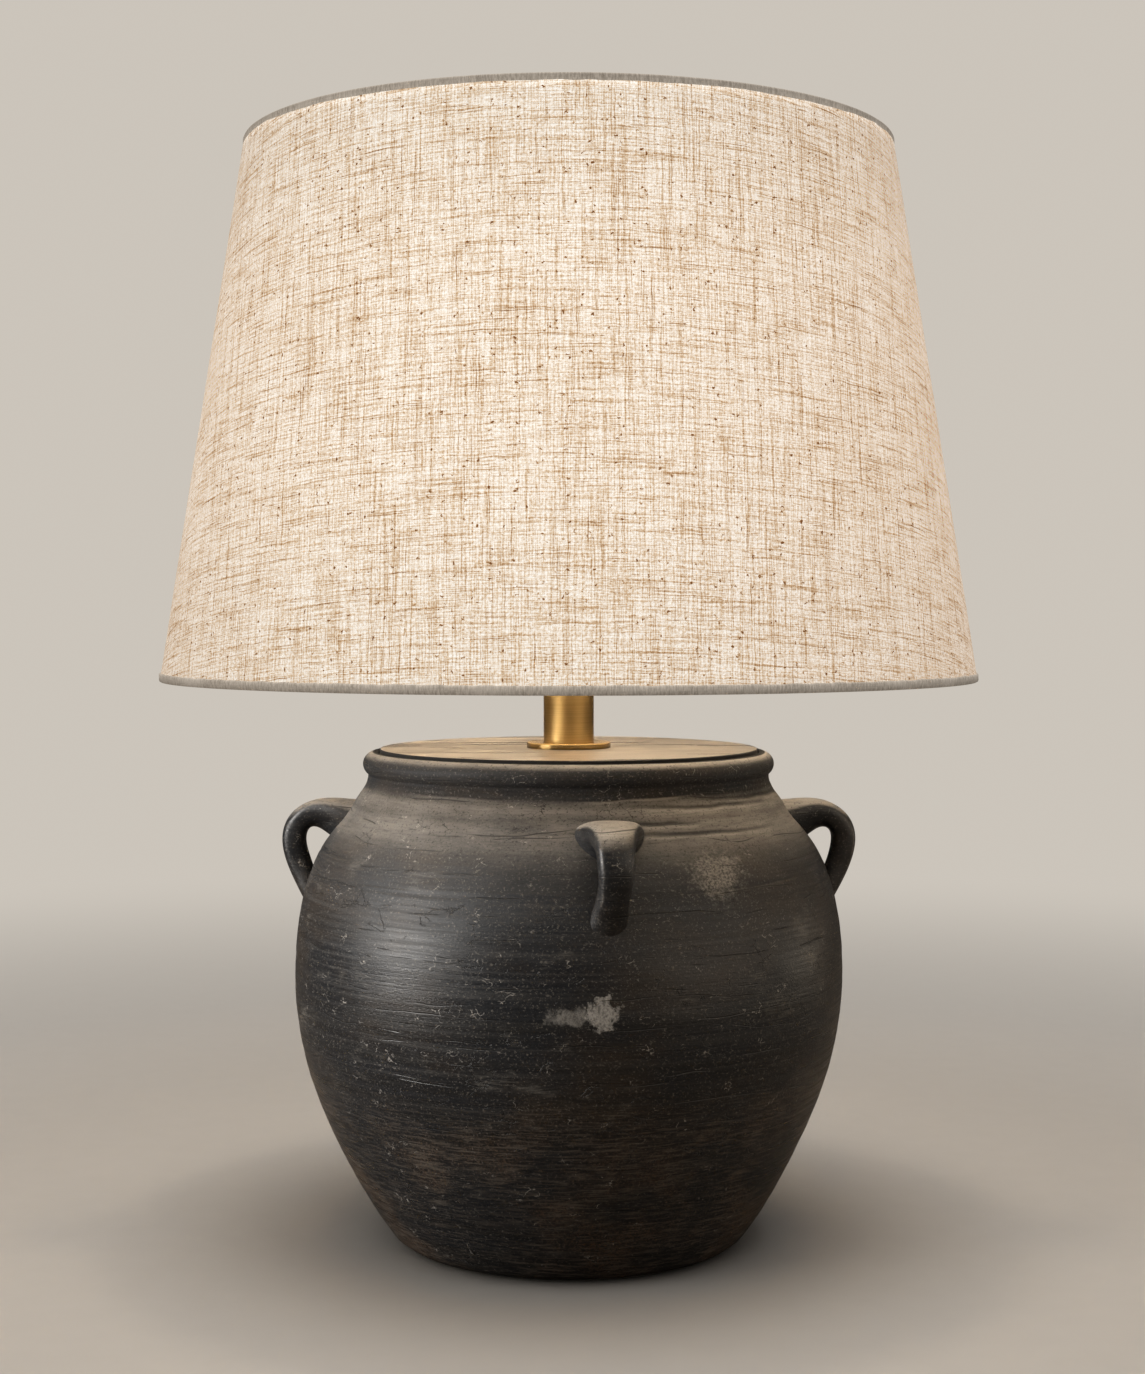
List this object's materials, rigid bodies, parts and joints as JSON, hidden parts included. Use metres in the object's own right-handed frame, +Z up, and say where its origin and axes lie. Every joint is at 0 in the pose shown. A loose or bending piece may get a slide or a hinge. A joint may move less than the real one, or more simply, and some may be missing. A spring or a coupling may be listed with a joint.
{
  "type": "ceramic table lamp",
  "caption": "Table lamp with a round black earthenware pot base, strap lugs, a wooden lid, a brass neck and a tapered linen shade on a harp over a screw bulb.",
  "frame": {"origin": "centre of the underside, on the surface that the lamp stands on", "axes": "+Z up along the lamp's axis, -Y towards the front, where one lug and the switch face"},
  "size_m": [0.4572, 0.4572, 0.6245],
  "materials": {
    "earthenware": "burnished black earthenware, satin",
    "felt": "pressed felt",
    "black_rubber": "matt",
    "plated_steel": "zinc plated",
    "stained_wood": "stained, satin",
    "brushed_brass": "brushed",
    "brass_plate": "plated",
    "insulating_paper": "pressed paper",
    "black_phenolic": "moulded",
    "bulb_metal": "plain",
    "bulb_white": "moulded",
    "opal_globe": "opal",
    "linen": "slub linen weave",
    "linen_binding": "folded linen strip",
    "shade_film": "translucent white sheet"
  },
  "bodies": {
    "lamp_base": {"base_felt": "felt", "pot_body": "earthenware", "lug_handle_front": "earthenware", "lug_handle_right": "earthenware", "lug_handle_rear": "earthenware", "lug_handle_left": "earthenware", "cord_grommet": "black_rubber", "floor_washer": "plated_steel", "lock_washer": "plated_steel", "floor_nut": "plated_steel", "threaded_rod": "plated_steel", "lid_gasket": "black_rubber", "lid_disc": "stained_wood", "neck_flange": "brushed_brass", "lid_nut": "plated_steel", "neck_tube": "brushed_brass", "neck_cap": "brushed_brass", "harp_saddle": "plated_steel", "harp_frame": "brass_plate", "holder_cap": "brass_plate", "holder_set_screw": "plated_steel", "holder_shell": "brass_plate", "holder_paper_sleeve": "insulating_paper", "switch_block": "black_phenolic", "terminal_screws": "plated_steel", "screw_shell": "brass_plate", "centre_contact": "brass_plate"},
    "shade": {"shade_linen": "linen", "shade_liner": "shade_film", "shade_binding_top": "linen_binding", "shade_binding_bottom": "linen_binding", "shade_ring_top": "plated_steel", "shade_ring_bottom": "plated_steel", "shade_spider": "brass_plate", "swivel_stud": "brass_plate"},
    "finial": {"finial": "brushed_brass"},
    "bulb": {"bulb_tip_contact": "bulb_metal", "bulb_insulator": "black_phenolic", "bulb_screw_cap": "bulb_metal", "bulb_housing": "bulb_white", "bulb_led_board": "bulb_metal", "bulb_globe": "opal_globe"},
    "switch": {"switch_shaft": "plated_steel", "switch_knob": "black_phenolic"},
    "harp_sleeve_left": {"harp_sleeve_left": "brass_plate"},
    "harp_sleeve_right": {"harp_sleeve_right": "brass_plate"}
  },
  "joints": [
    {"name": "shade_swivel", "type": "hinge", "parent": "lamp_base", "child": "shade", "pos_m": [0, 0, 0.5934], "axis": [0, 0, 1], "continuous": true},
    {"name": "finial_unscrew", "type": "hinge", "parent": "shade", "child": "finial", "pos_m": [0, 0, 0.5985], "axis": [0, 0, 1], "range_deg": [0, 4320]},
    {"name": "bulb_unscrew", "type": "hinge", "parent": "lamp_base", "child": "bulb", "pos_m": [0, 0, 0.3708], "axis": [0, 0, 1], "range_deg": [0, 1080]},
    {"name": "switch_turn", "type": "hinge", "parent": "lamp_base", "child": "switch", "pos_m": [0, 0, 0.3589], "axis": [0, -1, 0], "continuous": true},
    {"name": "sleeve_left_lift", "type": "slide", "parent": "lamp_base", "child": "harp_sleeve_left", "axis": [0, 0, 1], "range_m": [0, 0.012]},
    {"name": "sleeve_right_lift", "type": "slide", "parent": "lamp_base", "child": "harp_sleeve_right", "axis": [0, 0, 1], "range_m": [0, 0.012]}
  ]
}
